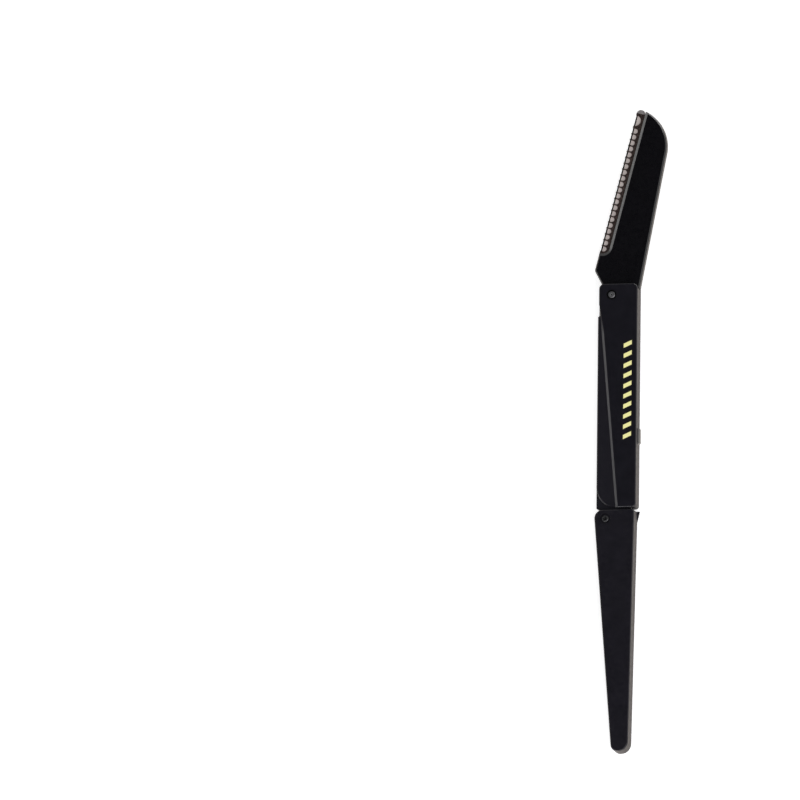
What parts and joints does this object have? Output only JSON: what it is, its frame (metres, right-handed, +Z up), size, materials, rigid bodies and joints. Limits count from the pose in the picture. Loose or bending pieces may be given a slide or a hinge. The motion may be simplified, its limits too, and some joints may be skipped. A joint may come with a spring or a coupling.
{
  "type": "eyebrow razor",
  "caption": "Folding eyebrow razor lying open and flat: guarded blade in a moulded head, channel-shaped middle handle and a tail handle that folds over both.",
  "frame": {"origin": "on the plane the razor lies on, under the middle of the middle handle", "axes": "+X across to the spine side, +Y along the razor to the head, +Z up out of the front face"},
  "size_m": [0.0173, 0.157, 0.0045],
  "materials": {
    "handle_plastic": "satin",
    "head_plastic": "smooth",
    "blade_steel": "ground",
    "guard_steel": "etched",
    "pin_steel": "satin"
  },
  "bodies": {
    "middle": {"middle_handle": "handle_plastic", "head_pivot_pin": "pin_steel"},
    "head": {"blade_holder": "head_plastic", "blade": "blade_steel", "blade_guard": "guard_steel"},
    "tail": {"tail_handle": "handle_plastic", "tail_pivot_pin": "pin_steel"}
  },
  "joints": [
    {"name": "head_fold", "type": "hinge", "parent": "middle", "child": "head", "pos_m": [-0.00265, 0.0247, 0.00227], "axis": [0, 0, 1], "range_deg": [0, 190]},
    {"name": "tail_fold", "type": "hinge", "parent": "middle", "child": "tail", "pos_m": [-0.00375, -0.03005, 0.00227], "axis": [0, 0, -1], "range_deg": [0, 179.5]}
  ]
}
